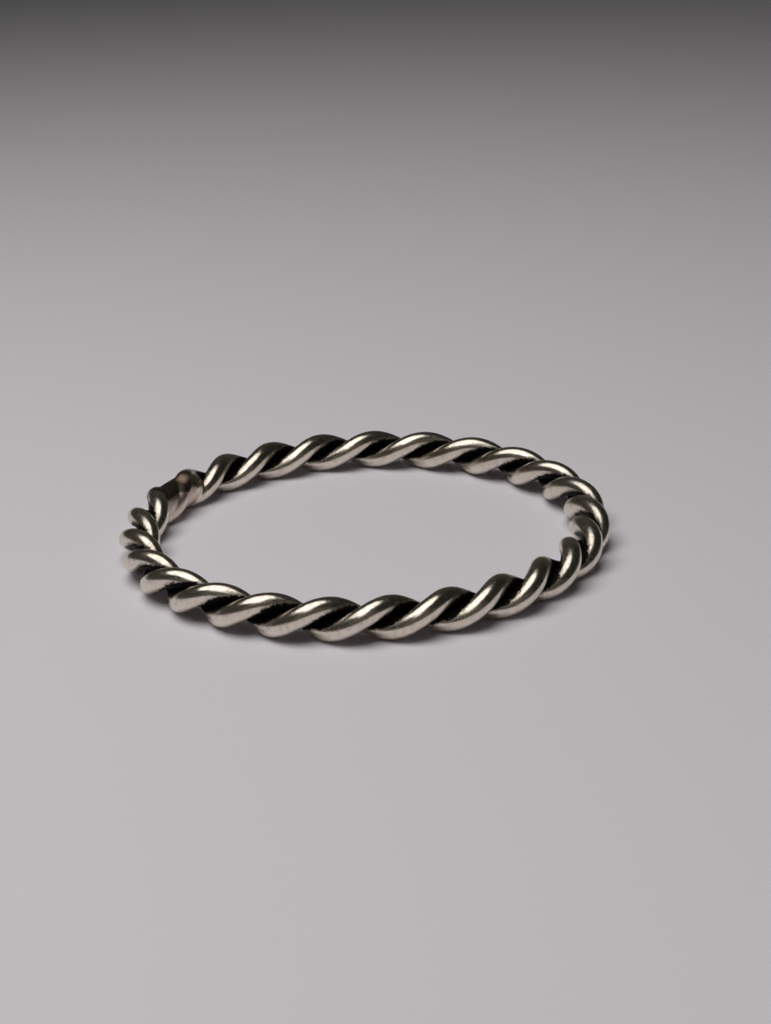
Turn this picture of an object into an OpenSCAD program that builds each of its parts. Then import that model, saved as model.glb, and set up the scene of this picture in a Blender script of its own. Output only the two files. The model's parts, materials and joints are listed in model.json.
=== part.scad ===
// Rope twist ring: two round silver wires twisted into a rope, bent round and soldered end to end.
// It lies flat on its side, as it does on a table. The origin is on that table, at the middle of the finger hole.
// +Z points up through the finger hole. Angles round the ring are counted from +X towards +Y.

/* [Ring] */
// Inner diameter, where the finger goes, between the wires' innermost points
inner_d = 18.5; // [15:0.1:21]
// Diameter of each wire
wire_d = 0.9; // [0.7:0.05:1.1]
// Gap between the two wires where they lie closest
wire_gap = 0.04; // [0.02:0.01:0.06]

/* [Twist] */
// Half turns of the twist in one round of the ring, each of which is one bump along the edge
half_turns = 25; // [18:1:30]
// Angle of the first wire about the rope's axis at the joint, from outward (0) to upward (90)
lay_at_joint = 150; // [0:5:355]
// Most that the hand-made twist runs ahead of an even one, in degrees
lay_drift = 32; // [0:1:40]
// Place round the ring where the twist runs furthest ahead; opposite, it is furthest behind
lay_drift_at = -18; // [-180:1:180]

/* [Solder joint] */
// Place of the joint's middle round the ring
joint_at = 152; // [0:1:359]
// Length of the joint along the rope
joint_length = 4.2; // [3:0.1:5.4]
// Thickness of the solder across the grooves, at the joint's middle
solder_thick = 1.5; // [0.9:0.05:1.6]
// Width of the solder in line with the two wires
solder_wide = 1.5; // [0.9:0.05:1.6]

/* [Hidden] */

wire_r = wire_d / 2;
// Distance from the rope's axis to each wire's middle
orbit_r = wire_r + wire_gap / 2;
// Distance from the ring's middle to the rope's axis
rope_r = inner_d / 2 + orbit_r + wire_r;
// Height of the rope's axis when the lowest bumps touch the table
axis_z = orbit_r + wire_r;

// Half of the joint's angle round the ring
joint_half = joint_length / 2 / rope_r * 180 / PI;
// Angle that leaves the wires' gap between a strand's end and the joint
end_gap = wire_gap / rope_r * 180 / PI;
// Thickness of the solder at the joint's two ends, as a share of its middle
solder_end = 0.2;

wire_sides = 14;
joint_sides = 32;
// Angle round the ring from one section to the next
wire_step = 1.5;
joint_step = 1;
// Angle on either side of a section over which a wire's direction is measured
slope_step = 0.05;

silver = "#c9c1b3";
fired_silver = "#6e635a";

// Angle of the first wire about the rope's axis, at a place round the ring
function lay(at) =
    lay_at_joint
    + half_turns / 2 * (at - joint_at)
    + lay_drift * (cos(at - lay_drift_at) - cos(joint_at - lay_drift_at));

// Direction away from the rope's axis at an angle about it: 0 is outward and 90 is upward
function about_rope(at, angle) = [cos(angle) * cos(at), cos(angle) * sin(at), sin(angle)];

// Direction of travel round the ring
function round_ring(at) = [-sin(at), cos(at), 0];

function rope_point(at) = [rope_r * cos(at), rope_r * sin(at), axis_z];

function unit(v) = v / norm(v);

// Middle of the wire that lies at the angle side from the first one
function wire_middle(at, side) = rope_point(at) + orbit_r * about_rope(at, lay(at) + side);

// Direction in which that wire runs
function wire_along(at, side) =
    unit(wire_middle(at + slope_step, side) - wire_middle(at - slope_step, side));

// One round section of a wire, square to the wire's own direction
function wire_section(at, side) =
    let (
        along = wire_along(at, side),
        outer = about_rope(at, lay(at) + side),
        away = unit(outer - (outer * along) * along),
        across = cross(along, away)
    )
    [for (i = [0:wire_sides - 1])
        let (turn = 360 * i / wire_sides)
        wire_middle(at, side) + wire_r * (cos(turn) * away + sin(turn) * across)];

// The same section slid along the wire into the plane that cuts the rope squarely
function cut_section(at, side) =
    let (
        along = wire_along(at, side),
        forward = round_ring(at)
    )
    [for (p = wire_section(at, side))
        p + along * ((wire_middle(at, side) - p) * forward) / (along * forward)];

// Distance from the rope's axis to the outside of the two wires, at an angle from the first wire.
// Cut squarely across the rope, each wire is an oval of height 2 * tall.
function wires_reach(turn, tall) =
    let (
        a = pow(cos(turn) / wire_r, 2) + pow(sin(turn) / tall, 2),
        b = orbit_r * abs(cos(turn)) / pow(wire_r, 2),
        c = pow(orbit_r / wire_r, 2) - 1,
        inside = b * b - a * c
    )
    inside > 0 ? (b + sqrt(inside)) / a : 0;

// Distance from the rope's axis to the outside of the solder, which is an oval
function solder_reach(turn, thick) =
    1 / norm([cos(turn) / (solder_wide / 2), sin(turn) / (thick / 2)]);

// One section of the joint, where wires and solder are one piece of metal
function joint_section(at, thick) =
    let (tall = wire_r / (wire_along(at, 0) * round_ring(at)))
    [for (i = [0:joint_sides - 1])
        let (turn = 360 * i / joint_sides)
        rope_point(at)
        + max(wires_reach(turn, tall), solder_reach(turn, thick)) * about_rope(at, lay(at) - turn)];

// Closed skin over a row of sections that all have the same number of points
module skin(sections) {
    n = len(sections[0]);
    last = len(sections) - 1;
    walls = [
        for (j = [0:last - 1], i = [0:n - 1], upper = [false, true])
            let (
                a = j * n + i,
                b = j * n + (i + 1) % n,
                c = a + n,
                d = b + n
            )
            upper ? [a, c, d] : [a, d, b]
    ];
    first_end = [for (i = [0:n - 1]) i];
    last_end = [for (i = [n - 1:-1:0]) last * n + i];
    polyhedron(
        points = [for (section = sections) each section],
        faces = concat(walls, [first_end, last_end]),
        convexity = 12
    );
}

// One wire of the twist, from the joint round the ring to the joint again
module strand(side) {
    from = joint_at + joint_half + end_gap;
    to = joint_at + 360 - joint_half - end_gap;
    steps = ceil((to - from) / wire_step);
    skin([
        cut_section(from, side),
        for (k = [1:steps - 1]) wire_section(from + (to - from) * k / steps, side),
        cut_section(to, side)
    ]);
}

module strand_a() {
    color(silver) strand(0);
}

module strand_b() {
    color(silver) strand(180);
}

module solder_joint() {
    steps = ceil(2 * joint_half / joint_step);
    color(fired_silver) skin([
        for (k = [0:steps])
            let (
                place = 2 * k / steps - 1,
                share = solder_end + (1 - solder_end) * (1 - pow(place, 4))
            )
            joint_section(joint_at + joint_half * place, solder_thick * share)
    ]);
}

strand_a();
strand_b();
solder_joint();
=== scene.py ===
"""Rope twist ring: two round silver wires twisted into a rope, bent round and soldered end to end.

Every size is in metres, in the ring's own frame. The origin is on the table, at the middle of the
finger hole, and +Z points up through the hole. Angles round the ring run from +X towards +Y.
"""

import json
import math

import bpy
from bpy.props import FloatProperty, FloatVectorProperty, IntProperty, PointerProperty
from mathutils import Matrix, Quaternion, Vector


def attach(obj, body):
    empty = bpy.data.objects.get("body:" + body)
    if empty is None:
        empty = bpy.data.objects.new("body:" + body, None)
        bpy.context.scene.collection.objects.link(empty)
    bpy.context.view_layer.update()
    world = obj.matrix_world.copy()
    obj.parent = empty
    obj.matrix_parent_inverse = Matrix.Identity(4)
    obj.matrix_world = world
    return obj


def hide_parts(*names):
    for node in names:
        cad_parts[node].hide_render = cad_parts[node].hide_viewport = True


bl_info = {
    "name": "Rope Twist Ring",
    "version": (1, 0, 0),
    "blender": (4, 5, 0),
    "location": "View3D > Sidebar > Ring",
    "description": "Makes a finger ring of two twisted and soldered silver wires, with its stage",
    "category": "Add Mesh",
}

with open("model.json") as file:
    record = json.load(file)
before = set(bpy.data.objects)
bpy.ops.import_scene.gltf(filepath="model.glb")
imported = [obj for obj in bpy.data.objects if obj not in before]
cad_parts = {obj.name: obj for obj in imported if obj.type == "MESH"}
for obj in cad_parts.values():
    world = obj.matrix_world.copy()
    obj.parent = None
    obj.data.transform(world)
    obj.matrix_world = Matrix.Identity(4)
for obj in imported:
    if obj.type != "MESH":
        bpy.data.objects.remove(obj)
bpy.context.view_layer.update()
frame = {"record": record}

MM = 0.001
FULL_TURN = 2 * math.pi
HALF_TURN = math.pi
# Height of the rope's axis above the table, which is also the middle height of the finger hole
AXIS_HEIGHT = frame["record"]["mounts"][0]["pos_m"][2]

# How much deeper than touching the two wires are pressed together
CONTACT_PRESS = 0.004 * MM
# Power that narrows the ridge on which the wires touch
CONTACT_NARROWNESS = 8
# Length of the first and last band of faces along a tube, as a share of the others
RIM_SHARE = 0.02
# A tube's face is part of its wall, and not of an end, where more of its corners are open than this
WALL_SHARE = 0.9
# Points of a tube that lie closer than this become one, which closes its seam and its ends
MERGE_DISTANCE = 0.0005 * MM
# How quickly the solder's fillets reach their full width from each end of the joint
FILLET_GROWTH = 3
# Lumps and hollows in the solder: changes a millimetre, and the noise that counts as level
LUMPS = 2.2
LEVEL_LUMP = 0.62
# Share of the solder's swell at which its lumps are fully there
LUMPY_SWELL = 0.9


class RopeRingSizes(bpy.types.PropertyGroup):
    """Sizes of the twisted wires and of the joint where they are soldered"""

    inner_diameter: FloatProperty(
        name="Inner diameter",
        description="Width of the finger hole between the wires' innermost points",
        default=18.5 * MM,
        unit="LENGTH",
        precision=5,
    )
    wire_diameter: FloatProperty(
        name="Wire diameter",
        description="Thickness of each of the two wires",
        default=0.9 * MM,
        unit="LENGTH",
        precision=5,
    )
    wire_gap: FloatProperty(
        name="Wire gap",
        description="Gap between the two wires where they lie closest",
        default=0.04 * MM,
        unit="LENGTH",
        precision=5,
    )
    half_turns: FloatProperty(
        name="Half turns",
        description="Half turns of the twist in one round, each of which is one bump along the edge",
        default=25,
    )
    lay_at_joint: FloatProperty(
        name="Lay at the joint",
        description="Angle of the first wire about the rope's axis at the joint, from outward to upward",
        default=math.radians(150),
        subtype="ANGLE",
    )
    lay_drift: FloatProperty(
        name="Lay drift",
        description="Most that the hand-made twist runs ahead of an even one",
        default=math.radians(32),
        subtype="ANGLE",
    )
    lay_drift_place: FloatProperty(
        name="Lay drift place",
        description="Place round the ring where the twist runs furthest ahead",
        default=math.radians(-18),
        subtype="ANGLE",
    )
    joint_place: FloatProperty(
        name="Joint place",
        description="Place of the solder joint's middle round the ring",
        default=math.radians(152),
        subtype="ANGLE",
    )
    joint_length: FloatProperty(
        name="Joint length",
        description="Length of the solder joint along the rope",
        default=4.2 * MM,
        unit="LENGTH",
        precision=5,
    )
    solder_width: FloatProperty(
        name="Solder width",
        description="Width of the solder in line with the two wires",
        default=1.5 * MM,
        unit="LENGTH",
        precision=5,
    )
    solder_thickness: FloatProperty(
        name="Solder thickness",
        description="Thickness of the solder across the grooves, at the joint's middle",
        default=1.5 * MM,
        unit="LENGTH",
        precision=5,
    )
    solder_end: FloatProperty(
        name="Solder end",
        description="Thickness of the solder at the joint's two ends, as a share of its middle",
        default=0.2,
        subtype="FACTOR",
        min=0,
        max=1,
    )
    solder_fillet: FloatProperty(
        name="Solder fillet",
        description="How widely the solder flows up the wires' flanks",
        default=0.09 * MM,
        unit="LENGTH",
        precision=5,
    )
    solder_unevenness: FloatProperty(
        name="Solder unevenness",
        description="Height of the lumps and hollows in the soldered metal",
        default=0.035 * MM,
        unit="LENGTH",
        precision=5,
    )
    wire_sides: IntProperty(
        name="Wire sides",
        description="Sides of each wire's round section",
        default=48,
        min=12,
    )
    wire_rings: IntProperty(
        name="Wire rings",
        description="Sections along each wire",
        default=1150,
        min=100,
    )
    joint_sides: IntProperty(
        name="Joint sides",
        description="Sides of the joint's section",
        default=128,
        min=24,
    )
    joint_rings: IntProperty(
        name="Joint rings",
        description="Sections along the joint",
        default=96,
        min=12,
    )

    @property
    def wire_radius(self):
        return self.wire_diameter / 2

    @property
    def orbit_radius(self):
        """Distance from the rope's axis to each wire's middle"""
        return (self.wire_diameter + self.wire_gap) / 2

    @property
    def rope_radius(self):
        """Distance from the ring's middle to the rope's axis"""
        return self.inner_diameter / 2 + self.orbit_radius + self.wire_radius

    @property
    def joint_half_angle(self):
        """Half of the joint's angle round the ring, with half of the gap to each strand"""
        return (self.joint_length + self.wire_gap) / 2 / self.rope_radius


class RopeRingFinish(bpy.types.PropertyGroup):
    """Colours of the silver, its blackened grooves and its solder joint"""

    polished: FloatVectorProperty(
        name="Polished silver",
        description="Colour of the polished bumps",
        default=(0.84, 0.762, 0.66),
        subtype="COLOR",
        min=0,
        max=1,
    )
    tarnished: FloatVectorProperty(
        name="Tarnished silver",
        description="Colour of the thin tarnish beside the grooves",
        default=(0.30, 0.255, 0.205),
        subtype="COLOR",
        min=0,
        max=1,
    )
    blackened: FloatVectorProperty(
        name="Blackened silver",
        description="Colour of the oxide in the grooves",
        default=(0.011, 0.0095, 0.009),
        subtype="COLOR",
        min=0,
        max=1,
    )
    fire_stain: FloatVectorProperty(
        name="Fire stain",
        description="Colour of the dark stain that the torch left on top of the joint",
        default=(0.030, 0.020, 0.014),
        subtype="COLOR",
        min=0,
        max=1,
    )
    heat_spot: FloatVectorProperty(
        name="Heat spot",
        description="Colour of the matt brown scale in the middle of the stain",
        default=(0.42, 0.29, 0.22),
        subtype="COLOR",
        min=0,
        max=1,
    )
    solder: FloatVectorProperty(
        name="Solder",
        description="Colour of the dull solder",
        default=(0.77, 0.65, 0.56),
        subtype="COLOR",
        min=0,
        max=1,
    )
    oxide_reach: FloatProperty(
        name="Oxide reach",
        description="How far from the rope's axis the black oxide reaches before the polish begins",
        default=0.585 * MM,
        unit="LENGTH",
        precision=5,
    )


class RopeRingStage(bpy.types.PropertyGroup):
    """Floor, light and camera"""

    floor_colour: FloatVectorProperty(
        name="Floor",
        description="Colour of the floor",
        default=(0.85, 0.838, 0.955),
        subtype="COLOR",
        min=0,
        max=1,
    )
    room_colour: FloatVectorProperty(
        name="Room",
        description="Colour of the darkest part of the dim room, on the right, that the silver reflects",
        default=(0.014, 0.015, 0.0125),
        subtype="COLOR",
        min=0,
        max=1,
    )
    glow_colour: FloatVectorProperty(
        name="Room glow",
        description="Colour that the room gains towards the left, the front and the back",
        default=(0.066, 0.058, 0.047),
        subtype="COLOR",
        min=0,
        max=1,
    )
    light_colour: FloatVectorProperty(
        name="Light",
        description="Colour of the soft light overhead",
        default=(1.0, 0.97, 0.88),
        subtype="COLOR",
        min=0,
        max=1,
    )
    light_power: FloatProperty(
        name="Light power",
        description="Power of the soft light overhead, which falls on the floor",
        default=0.262,
        unit="POWER",
    )
    light_size: FloatVectorProperty(
        name="Light size",
        description="Width and length of the soft light overhead",
        default=(0.20, 0.17),
        size=2,
        unit="LENGTH",
    )
    light_place: FloatVectorProperty(
        name="Light place",
        description="Middle of the soft light, above the ring and a little to the left and in front",
        default=(-0.058, -0.030, 0.18),
        subtype="TRANSLATION",
        unit="LENGTH",
    )
    gleam_colour: FloatVectorProperty(
        name="Gleam",
        description="Colour of the lights in the silver's gloss",
        default=(1.0, 0.975, 0.95),
        subtype="COLOR",
        min=0,
        max=1,
    )
    gleam_power: FloatProperty(
        name="Gleam power",
        description="Power of the soft light overhead, as the silver's gloss shows it",
        default=0.087,
        unit="POWER",
    )
    gleam_size: FloatVectorProperty(
        name="Gleam size",
        description="Width and length of the soft light overhead, as the silver's gloss shows it",
        default=(0.167, 0.145),
        size=2,
        unit="LENGTH",
    )
    gleam_place: FloatVectorProperty(
        name="Gleam place",
        description="Middle of the soft light overhead, as the silver's gloss shows it",
        default=(-0.0377, -0.0108, 0.138),
        subtype="TRANSLATION",
        unit="LENGTH",
    )
    front_power: FloatProperty(
        name="Front power",
        description="Power of the front panel, which only the silver's gloss shows",
        default=0.026,
        unit="POWER",
    )
    front_size: FloatVectorProperty(
        name="Front size",
        description="Width and length of the front panel",
        default=(0.078, 0.126),
        size=2,
        unit="LENGTH",
    )
    front_place: FloatVectorProperty(
        name="Front place",
        description="Middle of the front panel",
        default=(-0.026, -0.104, 0.14),
        subtype="TRANSLATION",
        unit="LENGTH",
    )
    camera_place: FloatVectorProperty(
        name="Camera place",
        description="Where the camera stands",
        default=(0, -77.95 * MM, 32.3 * MM),
        subtype="TRANSLATION",
        unit="LENGTH",
        precision=5,
    )
    camera_aim: FloatVectorProperty(
        name="Camera aim",
        description="Point on the table at the middle of the picture",
        default=(1.02 * MM, 3.75 * MM, 0),
        subtype="TRANSLATION",
        unit="LENGTH",
        precision=5,
    )
    camera_roll: FloatProperty(
        name="Camera roll",
        description="Turn of the camera about its own line of sight",
        default=math.radians(-2.34),
        subtype="ANGLE",
    )
    focal_length: FloatProperty(
        name="Focal length",
        description="The camera's focal length, in millimetres",
        default=65.05,
    )


class Signal:
    """An output socket that stands in Python expressions, where each operation adds its node."""

    def __init__(self, maker, socket):
        self.maker = maker
        self.socket = socket

    @property
    def is_vector(self):
        return self.socket.type in {"VECTOR", "RGBA"}

    def __add__(self, other):
        return self.maker.calculate("ADD", self, other)

    def __radd__(self, other):
        return self.maker.calculate("ADD", other, self)

    def __sub__(self, other):
        return self.maker.calculate("SUBTRACT", self, other)

    def __rsub__(self, other):
        return self.maker.calculate("SUBTRACT", other, self)

    def __mul__(self, other):
        return self.maker.calculate("MULTIPLY", self, other)

    def __rmul__(self, other):
        return self.maker.calculate("MULTIPLY", other, self)

    def __truediv__(self, other):
        return self.maker.calculate("DIVIDE", self, other)

    def __rtruediv__(self, other):
        return self.maker.calculate("DIVIDE", other, self)

    def __pow__(self, other):
        return self.maker.calculate("POWER", self, other)

    def __lt__(self, other):
        return self.maker.calculate("LESS_THAN", self, other)

    def __gt__(self, other):
        return self.maker.calculate("GREATER_THAN", self, other)

    def cos(self):
        return self.maker.calculate("COSINE", self)

    def sin(self):
        return self.maker.calculate("SINE", self)

    def floor(self):
        return self.maker.calculate("FLOOR", self)

    def absolute(self):
        return self.maker.calculate("ABSOLUTE", self)

    def unit(self):
        return self.maker.calculate("NORMALIZE", self)

    def dot(self, other):
        return self.maker.calculate("DOT_PRODUCT", self, other)

    def cross(self, other):
        return self.maker.calculate("CROSS_PRODUCT", self, other)


class NodeMaker:
    """Adds nodes to one node tree and links them."""

    def __init__(self, tree):
        self.tree = tree

    def add(self, kind, settings=None, sockets=None, output=0):
        """Adds a node, sets its settings, then its sockets, and gives the named output."""
        node = self.tree.nodes.new(kind)
        for name, value in (settings or {}).items():
            setattr(node, name, value)
        for key, value in (sockets or {}).items():
            socket = self.find(node.inputs, key)
            if isinstance(value, Signal):
                self.tree.links.new(value.socket, socket)
            else:
                socket.default_value = value
        return Signal(self, self.find(node.outputs, output))

    @staticmethod
    def find(sockets, key):
        """Socket by place, identifier or name; of several with one name, the one in use."""
        if isinstance(key, int):
            return sockets[key]
        for socket in sockets:
            if socket.identifier == key:
                return socket
        return next(socket for socket in sockets if socket.name == key and socket.enabled)

    def calculate(self, operation, *values):
        """Math node on numbers, and Vector Math node where one of the values is a vector."""
        vectors = [isinstance(value, Signal) and value.is_vector for value in values]
        if not any(vectors):
            return self.add("ShaderNodeMath", {"operation": operation}, dict(enumerate(values)))
        if operation == "MULTIPLY" and not all(vectors):
            vector, number = values if vectors[0] else reversed(values)
            return self.add(
                "ShaderNodeVectorMath", {"operation": "SCALE"}, {0: vector, "Scale": number}
            )
        output = "Value" if operation in {"DOT_PRODUCT", "DISTANCE"} else "Vector"
        return self.add(
            "ShaderNodeVectorMath", {"operation": operation}, dict(enumerate(values)), output
        )

    def vector(self, x, y, z):
        return self.add("ShaderNodeCombineXYZ", sockets={"X": x, "Y": y, "Z": z})

    def parts(self, vector):
        """The three numbers of a vector."""
        split = self.add("ShaderNodeSeparateXYZ", sockets={0: vector})
        return [Signal(self, socket) for socket in split.socket.node.outputs]

    def smooth_step(self, value, low, high):
        """0 below low, 1 above high and an S-shaped rise between them."""
        return self.add(
            "ShaderNodeMapRange",
            {"interpolation_type": "SMOOTHSTEP"},
            {"Value": value, "From Min": low, "From Max": high},
        )

    def clamp(self, value):
        return self.add("ShaderNodeClamp", sockets={"Value": value})

    def mix(self, factor, a, b):
        """Colour between a and b."""
        return self.add(
            "ShaderNodeMix",
            {"data_type": "RGBA"},
            {"Factor_Float": factor, "A_Color": a, "B_Color": b},
            "Result_Color",
        )

    def noise(self, vector, scale, detail, roughness=0.5):
        """Noise of about 0 to 1 that changes over 1/scale of the vector's own unit."""
        return self.add(
            "ShaderNodeTexNoise",
            sockets={"Vector": vector, "Scale": scale, "Detail": detail, "Roughness": roughness},
        )


def new_tree(name, inputs):
    """Empty Geometry Nodes tree with named inputs, its maker and the inputs as signals."""
    tree = bpy.data.node_groups.new(name, "GeometryNodeTree")
    tree.interface.new_socket("Geometry", in_out="OUTPUT", socket_type="NodeSocketGeometry")
    for label, (kind, subtype) in inputs.items():
        socket = tree.interface.new_socket(label, in_out="INPUT", socket_type=kind)
        if subtype:
            socket.subtype = subtype
    maker = NodeMaker(tree)
    group_input = tree.nodes.new("NodeGroupInput")
    signals = {label: Signal(maker, group_input.outputs[label]) for label in inputs}
    return tree, maker, signals


def grow(name, tree, values):
    """Object with the plain mesh that a Geometry Nodes tree makes from its named inputs."""
    piece = bpy.data.objects.new(name, bpy.data.meshes.new(name))
    bpy.context.scene.collection.objects.link(piece)
    modifier = piece.modifiers.new(tree.name, "NODES")
    modifier.node_group = tree
    for socket in tree.interface.items_tree:
        if socket.in_out == "INPUT":
            modifier[socket.identifier] = values[socket.name]
    depsgraph = bpy.context.evaluated_depsgraph_get()
    mesh = bpy.data.meshes.new_from_object(piece.evaluated_get(depsgraph), depsgraph=depsgraph)
    piece.modifiers.remove(modifier)
    piece.data = mesh
    mesh.name = name
    if not mesh.polygons:
        raise RuntimeError(f"the tree {tree.name} made no faces for {name}")
    return piece


LENGTH = ("NodeSocketFloat", "DISTANCE")
ANGLE = ("NodeSocketFloat", "ANGLE")
NUMBER = ("NodeSocketFloat", None)
COUNT = ("NodeSocketInt", None)
MATERIAL = ("NodeSocketMaterial", None)

ROPE_INPUTS = {
    "Rope radius": LENGTH,
    "Axis height": LENGTH,
    "Orbit radius": LENGTH,
    "Wire radius": LENGTH,
    "Half turns": NUMBER,
    "Lay at joint": ANGLE,
    "Lay drift": ANGLE,
    "Lay drift place": ANGLE,
    "Joint place": ANGLE,
    "First place": ANGLE,
    "Last place": ANGLE,
    "Rings": COUNT,
    "Sides": COUNT,
    "Finish": MATERIAL,
}


def rope_values(sizes):
    """Values of the inputs that both trees share."""
    return {
        "Rope radius": sizes.rope_radius,
        "Axis height": AXIS_HEIGHT,
        "Orbit radius": sizes.orbit_radius,
        "Wire radius": sizes.wire_radius,
        "Half turns": sizes.half_turns,
        "Lay at joint": sizes.lay_at_joint,
        "Lay drift": sizes.lay_drift,
        "Lay drift place": sizes.lay_drift_place,
        "Joint place": sizes.joint_place,
    }


class RopePath:
    """The rope at one place round the ring, as node signals."""

    def __init__(self, maker, rope, at):
        lead = at - rope["Lay drift place"]
        joint_lead = rope["Joint place"] - rope["Lay drift place"]
        # Angle of the first wire about the rope's axis, and how fast it changes round the ring
        self.lay = (
            rope["Lay at joint"]
            + rope["Half turns"] / 2 * (at - rope["Joint place"])
            + rope["Lay drift"] * (lead.cos() - joint_lead.cos())
        )
        self.lay_rate = rope["Half turns"] / 2 - rope["Lay drift"] * lead.sin()
        self.outward = maker.vector(at.cos(), at.sin(), 0)
        self.forward = maker.vector(0 - at.sin(), at.cos(), 0)
        self.upward = maker.vector(0, 0, 1)
        self.axis = self.outward * rope["Rope radius"] + self.upward * rope["Axis height"]
        self.rope = rope

    def about(self, angle):
        """Direction away from the rope's axis at an angle about it."""
        return self.outward * angle.cos() + self.upward * angle.sin()

    def wire(self, side):
        """Middle of the wire that lies at the angle side from the first one, and its direction."""
        angle = self.lay + side
        orbit = self.rope["Orbit radius"]
        middle = self.axis + self.about(angle) * orbit
        round_axis = self.upward * angle.cos() - self.outward * angle.sin()
        travel = (
            self.forward * (self.rope["Rope radius"] + orbit * angle.cos())
            + round_axis * (orbit * self.lay_rate)
        )
        return middle, travel.unit()


def tube_grid(maker, rope):
    """Grid whose rows are the sections of a closed tube.

    With it come signals for each point: its place round the ring, its share of the way round the
    section, and 1 where the tube is open or 0 on the first and last row, which close it in a point.
    """
    rings, sides = rope["Rings"], rope["Sides"]
    grid = maker.add(
        "GeometryNodeMeshGrid", sockets={"Vertices X": rings, "Vertices Y": sides + 1}
    )
    index = maker.add("GeometryNodeInputIndex")
    row = ((index + 0.5) / (sides + 1)).floor()
    column = index - row * (sides + 1)
    # Each end is a point and a rim, and the next row almost meets that rim, so the smooth shading
    # turns there out of sight
    share = maker.clamp((row - 2 + RIM_SHARE) / (rings - 5 + 2 * RIM_SHARE))
    at = rope["First place"] + (rope["Last place"] - rope["First place"]) * share
    open_row = (row > 0.5) * (row < rings - 1.5)
    return grid, at, column / sides, open_row


def tube_of(maker, grid, position, open_row, length, around, rope):
    """Skin through the grid's moved points, closed, with a smooth wall and a map of its surface."""
    open_share = maker.add(
        "GeometryNodeFieldOnDomain", {"domain": "FACE", "data_type": "FLOAT"}, {"Value": open_row}
    )
    mapped = maker.add(
        "GeometryNodeStoreNamedAttribute",
        {"data_type": "FLOAT2", "domain": "CORNER"},
        {"Geometry": grid, "Name": "surface_map", "Value": maker.vector(length, around, 0)},
    )
    smooth = maker.add(
        "GeometryNodeSetShadeSmooth",
        {"domain": "FACE"},
        {"Geometry": mapped, "Shade Smooth": open_share > WALL_SHARE},
    )
    moved = maker.add(
        "GeometryNodeSetPosition", sockets={"Geometry": smooth, "Position": position}
    )
    closed = maker.add(
        "GeometryNodeMergeByDistance", sockets={"Geometry": moved, "Distance": MERGE_DISTANCE}
    )
    whole = maker.add("GeometryNodeRealizeInstances", sockets={"Geometry": closed})
    finished = maker.add(
        "GeometryNodeSetMaterial", sockets={"Geometry": whole, "Material": rope["Finish"]}
    )
    output = maker.tree.nodes.new("NodeGroupOutput")
    maker.tree.links.new(finished.socket, output.inputs["Geometry"])


def wire_tree():
    """Tree that makes one round wire of the twist, with both ends cut squarely to the rope."""
    tree, maker, rope = new_tree(
        "Twisted wire", ROPE_INPUTS | {"Side": ANGLE, "End blend": ANGLE, "Contact": LENGTH}
    )
    grid, at, around, open_row = tube_grid(maker, rope)
    path = RopePath(maker, rope, at)
    middle, along = path.wire(rope["Side"])
    away = path.about(path.lay + rope["Side"])
    away = (away - along * away.dot(along)).unit()
    turn = around * FULL_TURN
    ray = away * turn.cos() + along.cross(away) * turn.sin()
    # A narrow ridge on the side that faces the other wire, where the two are pressed together
    facing = maker.calculate("MAXIMUM", 0 - turn.cos(), 0)
    radius = rope["Wire radius"] + rope["Contact"] * facing**CONTACT_NARROWNESS
    point = middle + ray * (radius * open_row)
    # Close to an end, each section leans over until it lies in the plane of the joint's own end
    nearest_end = maker.calculate("MINIMUM", at - rope["First place"], rope["Last place"] - at)
    lean = 1 - maker.smooth_step(nearest_end, 0, rope["End blend"])
    slide = (middle - point).dot(path.forward) / along.dot(path.forward)
    position = point + along * (slide * lean)
    tube_of(
        maker,
        grid,
        position,
        open_row,
        at * rope["Rope radius"],
        turn * rope["Wire radius"],
        rope,
    )
    return tree


def joint_tree():
    """Tree that makes the soldered length, where both wires and the solder are one metal."""
    tree, maker, rope = new_tree(
        "Soldered length",
        ROPE_INPUTS
        | {
            "Solder width": LENGTH,
            "Solder thickness": LENGTH,
            "Solder fillet": LENGTH,
            "Solder unevenness": LENGTH,
            "Solder end": NUMBER,
        },
    )
    grid, at, around, open_row = tube_grid(maker, rope)
    path = RopePath(maker, rope, at)
    along = path.wire(0)[1]
    turn = around * FULL_TURN
    wire_radius, orbit = rope["Wire radius"], rope["Orbit radius"]

    # Outside of the two wires, each an oval where the rope is cut squarely. The reach to it from
    # the rope's axis is the larger root of a * reach**2 - 2 * b * reach + (orbit / wire_radius)**2 - 1
    tall = wire_radius / along.dot(path.forward)
    a = (turn.cos() / wire_radius) ** 2 + (turn.sin() / tall) ** 2
    b = orbit * turn.cos().absolute() / wire_radius**2
    inside = b * b - a * ((orbit / wire_radius) ** 2 - 1)
    wires = (b + maker.calculate("MAXIMUM", inside, 0) ** 0.5) / a * (inside > 0)

    # Outside of the solder, an oval that is thickest across the grooves at the joint's middle
    half = (rope["Last place"] - rope["First place"]) / 2
    place = (at - rope["First place"]) / half - 1
    swell = 1 - (place * place) ** 2
    thick = rope["Solder thickness"] * (rope["Solder end"] + (1 - rope["Solder end"]) * swell)
    across = turn.sin() / (thick / 2)
    solder = 1 / ((turn.cos() / (rope["Solder width"] / 2)) ** 2 + across**2) ** 0.5

    fillet = rope["Solder fillet"] * maker.clamp(swell * FILLET_GROWTH)
    reach = maker.calculate("SMOOTH_MAX", wires, solder, fillet)
    direction = path.about(path.lay - turn)
    surface = (path.axis + direction * reach) * (1 / MM)
    lumps = maker.noise(surface, LUMPS, detail=3.0) - LEVEL_LUMP
    reach = reach + lumps * rope["Solder unevenness"] * maker.smooth_step(swell, 0, LUMPY_SWELL)
    position = path.axis + direction * (reach * open_row)
    tube_of(
        maker,
        grid,
        position,
        open_row,
        at * rope["Rope radius"],
        turn * orbit,
        rope,
    )
    return tree


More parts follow.
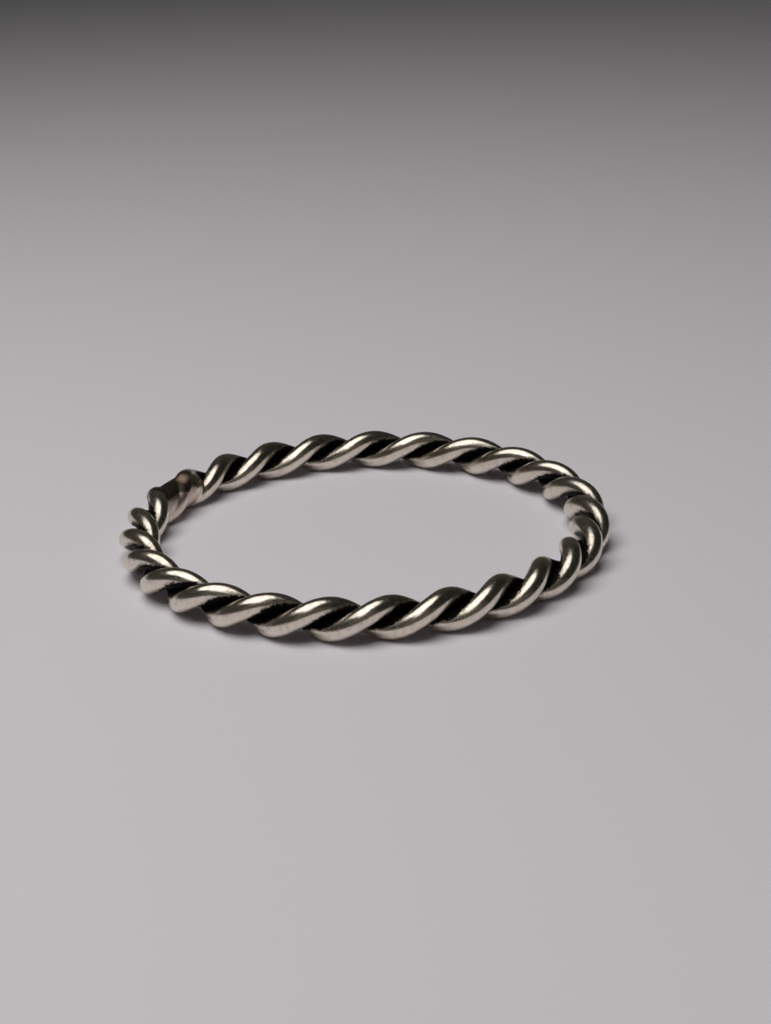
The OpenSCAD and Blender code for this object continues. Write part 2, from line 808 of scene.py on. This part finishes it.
def new_material(name):
    """Material with an empty tree, and its maker."""
    material = bpy.data.materials.new(name)
    material.use_nodes = True
    material.node_tree.nodes.clear()
    return material, NodeMaker(material.node_tree)


def shade(maker, sockets, height):
    """Principled surface with these sockets and a bump of that height in millimetres, as output."""
    bump = maker.add("ShaderNodeBump", sockets={"Height": height, "Distance": MM})
    surface = maker.add("ShaderNodeBsdfPrincipled", sockets=sockets | {"Normal": bump})
    output = maker.tree.nodes.new("ShaderNodeOutputMaterial")
    maker.tree.links.new(surface.socket, output.inputs["Surface"])


def place_in_mm(maker):
    """Place on the ring in millimetres."""
    coordinates = maker.add("ShaderNodeTexCoord", output="Object")
    return coordinates * (1 / MM)


# The two faces of the ring, which rub on tables and on other rings, are worn this much further in,
# in millimetres, and the lower one by so much more
FACE_WEAR = 0.03
UNDERSIDE_WEAR = 0.09
# Slopes below the rope's axis, as shares of straight down, over which the lower wear sets in
UNDERSIDE_SLOPES = (0.1, 0.8)


def past_the_oxide(maker, place, finish, sizes):
    """How far a place lies above the oxide's reach in the grooves, in millimetres."""
    x, y, z = maker.parts(place)
    outward = (x * x + y * y) ** 0.5 - sizes.rope_radius / MM
    upward = z - AXIS_HEIGHT / MM
    from_axis = (outward * outward + upward * upward) ** 0.5
    slope = upward / from_axis
    lower_side = maker.smooth_step(0 - slope, *UNDERSIDE_SLOPES)
    face_wear = slope.absolute() * FACE_WEAR + lower_side * UNDERSIDE_WEAR
    return from_axis - finish.oxide_reach / MM + face_wear


def nearness(maker, place, sizes, spot, end, waver):
    """1 close to a spot, and falling to 0 between the two distances of end, in millimetres.

    The spot is its angle round the ring, its angle about the rope's axis and its distance
    from that axis. The signal waver moves the edge in and out.
    """
    at, about, reach = spot
    outward = sizes.rope_radius / MM + reach * math.cos(about)
    middle = (
        outward * math.cos(at),
        outward * math.sin(at),
        AXIS_HEIGHT / MM + reach * math.sin(about),
    )
    distance = maker.calculate("DISTANCE", place, middle)
    return 1 - maker.smooth_step(distance + waver, *end)


def opaque(colour):
    return (*colour, 1)


# Changes a millimetre of each pattern in the silver, from the coarsest to the finest
CLOUDS = 1.7
WAVES = 3.5
MOTTLES = 4.5
RAGS = 11.0
GRAINS = 19.0
SPECKS = 25.0
# Changes a millimetre along a wire and round it: of the teeth in the polish's edge, which run round
# the wire, and of the scratches, which run along it
TEETH = (16.0, 6.0)
SCRATCHES = (1.5, 22.0)
# Middle of a noise, which is taken off it to let it swing both ways
NOISE_MIDDLE = 0.5

# How far each pattern moves the polish's edge in or out, in millimetres
CLOUD_SWAY = 0.20
RAG_SWAY = 0.30
TOOTH_SWAY = 0.16
SPECK_SWAY = 0.18
# Places beside the polish's edge, in millimetres, over which the oxide ends and the tarnish ends
OXIDE_END = (-0.015, 0.025)
TARNISH_END = (0.0, 0.14)
# Grain over which a black pit sets in, how much rarer pits get a millimetre from the grooves, and
# how black they are
PIT_GRAIN = (0.10, 0.16)
PIT_THINNING = 0.4
PIT_BLACKNESS = 0.75
# The mottling from which haze shows, what the finer patterns add, and the haze of full tarnish
CLEAR_MOTTLE = 0.43
GRAIN_HAZE = 0.5
SPECK_HAZE = 0.25
TARNISH_HAZE = 0.65
# Roughness of the clear polish, and what the rest adds
POLISH_ROUGHNESS = 0.205
HAZE_ROUGHNESS = 0.23
SCRATCH_ROUGHNESS = 0.08
OXIDE_ROUGHNESS = 0.25
# Heights of the patterns, in millimetres, and how deep the pits and the oxide's edge are
WAVE_HEIGHT = 0.006
RAG_HEIGHT = 0.003
GRAIN_HEIGHT = 0.0015
SCRATCH_HEIGHT = 0.0008
OXIDE_DEPTH = 0.006


class WornSilver:
    """Polished silver with blackened grooves, as node signals."""

    def __init__(self, maker, finish, sizes):
        self.place = place_in_mm(maker)
        surface_map = maker.add("ShaderNodeUVMap", {"uv_map": "surface_map"}) * (1 / MM)
        self.cloudy = maker.noise(self.place, CLOUDS, detail=3.0) - NOISE_MIDDLE
        self.ragged = maker.noise(self.place, RAGS, detail=3.0, roughness=0.7) - NOISE_MIDDLE
        grain = maker.noise(self.place, GRAINS, detail=2.0) - NOISE_MIDDLE
        specks = maker.noise(self.place, SPECKS, detail=1.0) - NOISE_MIDDLE

        # The black oxide ends in a ragged edge, where the polishing cloth reached
        teeth_map = maker.calculate("MULTIPLY", surface_map, maker.vector(*TEETH, 0))
        teeth = maker.noise(teeth_map, 1.0, detail=1.0) - NOISE_MIDDLE
        beyond = past_the_oxide(maker, self.place, finish, sizes)
        edge = beyond + self.cloudy * CLOUD_SWAY + self.ragged * RAG_SWAY + teeth * TOOTH_SWAY
        oxide = 1 - maker.smooth_step(edge + specks * SPECK_SWAY, *OXIDE_END)
        tarnish = 1 - maker.smooth_step(edge, *TARNISH_END)

        # Pits that the polish left black, most of them near the grooves
        above_edge = maker.calculate("MAXIMUM", edge, 0)
        pits = maker.smooth_step(grain - above_edge * PIT_THINNING, *PIT_GRAIN)
        self.dark = maker.calculate("MAXIMUM", oxide, pits * PIT_BLACKNESS)

        # Uneven tarnish over the bumps, and fine scratches along the wires
        mottle = maker.noise(self.place, MOTTLES, detail=3.0)
        scratch_map = maker.calculate("MULTIPLY", surface_map, maker.vector(*SCRATCHES, 0))
        scratches = maker.noise(scratch_map, 1.0, detail=2.0) - NOISE_MIDDLE
        waves = maker.noise(self.place, WAVES, detail=1.0)

        haze = maker.clamp(mottle - CLEAR_MOTTLE + grain * GRAIN_HAZE + specks * SPECK_HAZE)
        haze = maker.calculate("MAXIMUM", haze, tarnish * TARNISH_HAZE)
        self.colour = maker.mix(haze, opaque(finish.polished), opaque(finish.tarnished))
        self.roughness = (
            POLISH_ROUGHNESS + haze * HAZE_ROUGHNESS + scratches * SCRATCH_ROUGHNESS
        )
        self.height = (
            waves * WAVE_HEIGHT
            + self.ragged * RAG_HEIGHT
            + grain * GRAIN_HEIGHT
            + scratches * SCRATCH_HEIGHT
        )


def wire_material(finish, sizes):
    """Polished silver with blackened grooves, ragged polish edges, pits and fine scratches."""
    material, maker = new_material("oxidised_silver")
    silver = WornSilver(maker, finish, sizes)
    shade(
        maker,
        {
            "Base Color": maker.mix(silver.dark, silver.colour, opaque(finish.blackened)),
            "Metallic": 1.0,
            "Roughness": silver.roughness + silver.dark * OXIDE_ROUGHNESS,
        },
        silver.height - silver.dark * OXIDE_DEPTH,
    )
    return material


# Angle from the joint's middle to where the flame was held, round the ring
FLAME_OFFSET = 0.045
# Distances from there, in millimetres, over which the solder ends and the burnt metal ends
SOLDER_END = (1.25, 1.65)
BURN_END = (1.4, 1.8)
# How far the coarse and the finer pattern move those edges, in millimetres
CLOUD_WAVER = 1.2
RAG_WAVER = 0.5
# Heights above the rope's axis, in millimetres, over which the burnt metal sets in, the share of the
# waver that moves them, and how fully the stain covers the metal
BURN_HEIGHTS = (0.34, 0.46)
BURN_WAVER = 0.3
STAIN_COVER = 0.94
# Share of the grooves' oxide that the solder covers
OXIDE_LOST = 0.9
# The brown scale: its angle from the joint's middle round the ring, its angle about the rope's axis
# and its distance from that axis, where it ends, its share of the waver, and how fully it covers
SCALE_OFFSET = -0.035
SCALE_SIDE = math.radians(111)
SCALE_DISTANCE = 0.9
SCALE_END = (0.10, 0.52)
SCALE_WAVER = 0.5
SCALE_COVER = 0.9
# Roughness and lumps, in millimetres, that the solder and the burnt metal add
SOLDER_ROUGHNESS = 0.18
BURN_ROUGHNESS = 0.12
COARSE_LUMP = 0.012
FINE_LUMP = 0.006


def joint_material(finish, sizes):
    """Worn silver that turns into dull solder, with a brown and black fire stain on top."""
    material, maker = new_material("fired_silver")
    silver = WornSilver(maker, finish, sizes)
    waver = silver.cloudy * CLOUD_WAVER + silver.ragged * RAG_WAVER
    flame = (sizes.joint_place + FLAME_OFFSET, 0, 0)
    soldered = nearness(maker, silver.place, sizes, flame, SOLDER_END, waver)
    colour = maker.mix(soldered, silver.colour, opaque(finish.solder))
    dark = silver.dark * (1 - soldered * OXIDE_LOST)
    colour = maker.mix(dark, colour, opaque(finish.blackened))

    # The torch burnt the upper side: nearly black, with one brown spot on a bump
    upward = maker.parts(silver.place)[2] - AXIS_HEIGHT / MM
    near = nearness(maker, silver.place, sizes, flame, BURN_END, waver)
    burnt = maker.smooth_step(upward + waver * BURN_WAVER, *BURN_HEIGHTS) * near
    colour = maker.mix(burnt * STAIN_COVER, colour, opaque(finish.fire_stain))
    spot = (sizes.joint_place + SCALE_OFFSET, SCALE_SIDE, SCALE_DISTANCE)
    near_spot = nearness(maker, silver.place, sizes, spot, SCALE_END, waver * SCALE_WAVER)
    scale = near_spot * SCALE_COVER
    colour = maker.mix(scale, colour, opaque(finish.heat_spot))

    lumps = silver.cloudy * COARSE_LUMP + silver.ragged * FINE_LUMP
    roughness = silver.roughness + dark * OXIDE_ROUGHNESS
    shade(
        maker,
        {
            "Base Color": colour,
            "Metallic": 1 - scale,
            "Roughness": roughness + soldered * SOLDER_ROUGHNESS + burnt * BURN_ROUGHNESS,
        },
        silver.height + lumps * soldered - dark * OXIDE_DEPTH,
    )
    return material


# The paper's fibres: changes a millimetre and height in millimetres
FIBRES = 3.0
FIBRE_HEIGHT = 0.01
PAPER_ROUGHNESS = 0.8


def floor_material(stage):
    """Pale matt paper."""
    material, maker = new_material("pale_paper")
    fibres = maker.noise(place_in_mm(maker), FIBRES, detail=4.0, roughness=0.6)
    sockets = {"Base Color": opaque(stage.floor_colour), "Roughness": PAPER_ROUGHNESS}
    shade(maker, sockets, fibres * FIBRE_HEIGHT)
    return material


class MESH_OT_rope_ring_wires(bpy.types.Operator):
    """Make the two twisted wires, from the solder joint round to it again"""

    bl_idname = "mesh.rope_ring_wires"
    bl_label = "Twisted Wires"

    def execute(self, context):
        sizes = context.scene.rope_ring_sizes
        tree = wire_tree()
        values = rope_values(sizes) | {
            "First place": sizes.joint_place + sizes.joint_half_angle,
            "Last place": sizes.joint_place + FULL_TURN - sizes.joint_half_angle,
            "Rings": sizes.wire_rings,
            "Sides": sizes.wire_sides,
            "Finish": wire_material(context.scene.rope_ring_finish, sizes),
            "End blend": sizes.wire_diameter / sizes.rope_radius,
            "Contact": sizes.wire_gap / 2 + CONTACT_PRESS,
        }
        for name, node, side in (("wire_a", "strand_a", 0), ("wire_b", "strand_b", HALF_TURN)):
            piece = grow(name, tree, values | {"Side": side})
            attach(piece, "root")
            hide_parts(node)
        return {"FINISHED"}


class MESH_OT_rope_ring_joint(bpy.types.Operator):
    """Make the soldered length where the twisted wires' ends meet"""

    bl_idname = "mesh.rope_ring_joint"
    bl_label = "Solder Joint"

    def execute(self, context):
        sizes = context.scene.rope_ring_sizes
        values = rope_values(sizes) | {
            "First place": sizes.joint_place - sizes.joint_half_angle,
            "Last place": sizes.joint_place + sizes.joint_half_angle,
            "Rings": sizes.joint_rings,
            "Sides": sizes.joint_sides,
            "Finish": joint_material(context.scene.rope_ring_finish, sizes),
            "Solder width": sizes.solder_width,
            "Solder thickness": sizes.solder_thickness,
            "Solder fillet": sizes.solder_fillet,
            "Solder unevenness": sizes.solder_unevenness,
            "Solder end": sizes.solder_end,
        }
        piece = grow("soldered_joint", joint_tree(), values)
        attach(piece, "root")
        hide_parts("solder_joint")
        return {"FINISHED"}


# Distance from the origin to the floor's edges
FLOOR_REACH = 2.0
# Width of the camera's sensor in millimetres, and the nearest and furthest that it sees
SENSOR_WIDTH = 36
CAMERA_NEAREST = 1 * MM
CAMERA_FURTHEST = 10
# How strong the room's glow is towards the left, low in front and at the back
LEFT_GLOW = 0.35
FRONT_LOW_GLOW = 0.4
BACK_GLOW = 0.5
# The direction's share to the left, upward, to the front and to the back over which each sets in
LEFT_SPREAD = (0.3, 0.9)
FRONT_RISE = (0, 0.5)
FRONT_SPREAD = (0.5, 0.9)
BACK_SPREAD = (0.6, 0.97)
# Share of the room's light that reaches matt surfaces and the camera; the silver's gloss gets it all
ROOM_ON_MATT = 0.4


class SCENE_OT_rope_ring_stage(bpy.types.Operator):
    """Make the pale floor, the soft light, the dim room and the camera"""

    bl_idname = "scene.rope_ring_stage"
    bl_label = "Stage"

    def execute(self, context):
        stage = context.scene.rope_ring_stage
        self.make_floor(context.scene, stage)
        overhead = (stage.light_size, stage.light_place)
        gleam = (stage.gleam_size, stage.gleam_place)
        front = (stage.front_size, stage.front_place)
        self.make_light("soft_light", stage.light_colour, stage.light_power, *overhead)
        self.make_light("gleam", stage.gleam_colour, stage.gleam_power, *gleam, on_gloss=True)
        self.make_light("front", stage.gleam_colour, stage.front_power, *front, on_gloss=True)
        self.make_room(context.scene, stage)
        self.make_camera(context.scene, stage)
        return {"FINISHED"}

    def make_floor(self, scene, stage):
        mesh = bpy.data.meshes.new("floor")
        signs = ((-1, -1), (1, -1), (1, 1), (-1, 1))
        corners = [(x * FLOOR_REACH, y * FLOOR_REACH, 0) for x, y in signs]
        mesh.from_pydata(corners, [], [(0, 1, 2, 3)])
        mesh.materials.append(floor_material(stage))
        floor = bpy.data.objects.new("floor", mesh)
        scene.collection.objects.link(floor)

    def make_light(self, name, colour, power, size, place, on_gloss=False):
        """Flat oval light that either falls on matt surfaces or shows in gloss."""
        data = bpy.data.lights.new(name, "AREA")
        data.shape = "ELLIPSE"
        data.size, data.size_y = size
        data.energy = power
        data.color = colour
        light = bpy.data.objects.new(name, data)
        light.location = place
        light.visible_glossy = on_gloss
        light.visible_diffuse = not on_gloss
        bpy.context.scene.collection.objects.link(light)

    def make_room(self, scene, stage):
        world = bpy.data.worlds.new("dim_room")
        world.use_nodes = True
        world.node_tree.nodes.clear()
        maker = NodeMaker(world.node_tree)
        right, behind, up = maker.parts(maker.add("ShaderNodeTexCoord", output="Generated"))
        left_glow = maker.smooth_step(0 - right, *LEFT_SPREAD) * LEFT_GLOW
        front_share = maker.smooth_step(up, *FRONT_RISE) + FRONT_LOW_GLOW
        front_glow = maker.smooth_step(0 - behind, *FRONT_SPREAD) * front_share
        back_glow = maker.smooth_step(behind, *BACK_SPREAD) * BACK_GLOW
        glow = maker.calculate("MAXIMUM", left_glow, front_glow + back_glow)
        brightest = [a + b for a, b in zip(stage.room_colour, stage.glow_colour)]
        colour = maker.mix(glow, opaque(stage.room_colour), opaque(brightest))
        in_gloss = maker.add("ShaderNodeLightPath", output="Is Glossy Ray")
        strength = in_gloss * (1 - ROOM_ON_MATT) + ROOM_ON_MATT
        background = maker.add(
            "ShaderNodeBackground", sockets={"Color": colour, "Strength": strength}
        )
        output = maker.tree.nodes.new("ShaderNodeOutputWorld")
        maker.tree.links.new(background.socket, output.inputs["Surface"])
        scene.world = world
        scene.view_settings.view_transform = "Standard"

    def make_camera(self, scene, stage):
        data = bpy.data.cameras.new("camera")
        data.sensor_width = SENSOR_WIDTH
        data.lens = stage.focal_length
        data.clip_start = CAMERA_NEAREST
        data.clip_end = CAMERA_FURTHEST
        camera = bpy.data.objects.new("camera", data)
        sight = Vector(stage.camera_aim) - Vector(stage.camera_place)
        camera.location = stage.camera_place
        camera.rotation_mode = "QUATERNION"
        roll = Quaternion((0, 0, 1), stage.camera_roll)
        camera.rotation_quaternion = sight.to_track_quat("-Z", "Y") @ roll
        scene.collection.objects.link(camera)
        scene.camera = camera


class VIEW3D_PT_rope_ring(bpy.types.Panel):
    """Settings and steps of the rope twist ring"""

    bl_idname = "VIEW3D_PT_rope_ring"
    bl_label = "Rope Twist Ring"
    bl_space_type = "VIEW_3D"
    bl_region_type = "UI"
    bl_category = "Ring"

    def draw(self, context):
        scene = context.scene
        for group in (scene.rope_ring_sizes, scene.rope_ring_finish, scene.rope_ring_stage):
            box = self.layout.box()
            for name in group.__annotations__:
                box.prop(group, name)
        for step in STEPS:
            self.layout.operator(step.bl_idname)


STEPS = (MESH_OT_rope_ring_wires, MESH_OT_rope_ring_joint, SCENE_OT_rope_ring_stage)
GROUPS = {
    "rope_ring_sizes": RopeRingSizes,
    "rope_ring_finish": RopeRingFinish,
    "rope_ring_stage": RopeRingStage,
}


def register():
    for group in GROUPS.values():
        bpy.utils.register_class(group)
    for name, group in GROUPS.items():
        setattr(bpy.types.Scene, name, PointerProperty(type=group))
    for step in (*STEPS, VIEW3D_PT_rope_ring):
        bpy.utils.register_class(step)


def unregister():
    for step in (VIEW3D_PT_rope_ring, *reversed(STEPS)):
        bpy.utils.unregister_class(step)
    for name, group in reversed(GROUPS.items()):
        delattr(bpy.types.Scene, name)
        bpy.utils.unregister_class(group)


def main():
    register()
    bpy.ops.mesh.rope_ring_wires()
    bpy.ops.mesh.rope_ring_joint()
    bpy.ops.scene.rope_ring_stage()


if __name__ == "__main__":
    main()
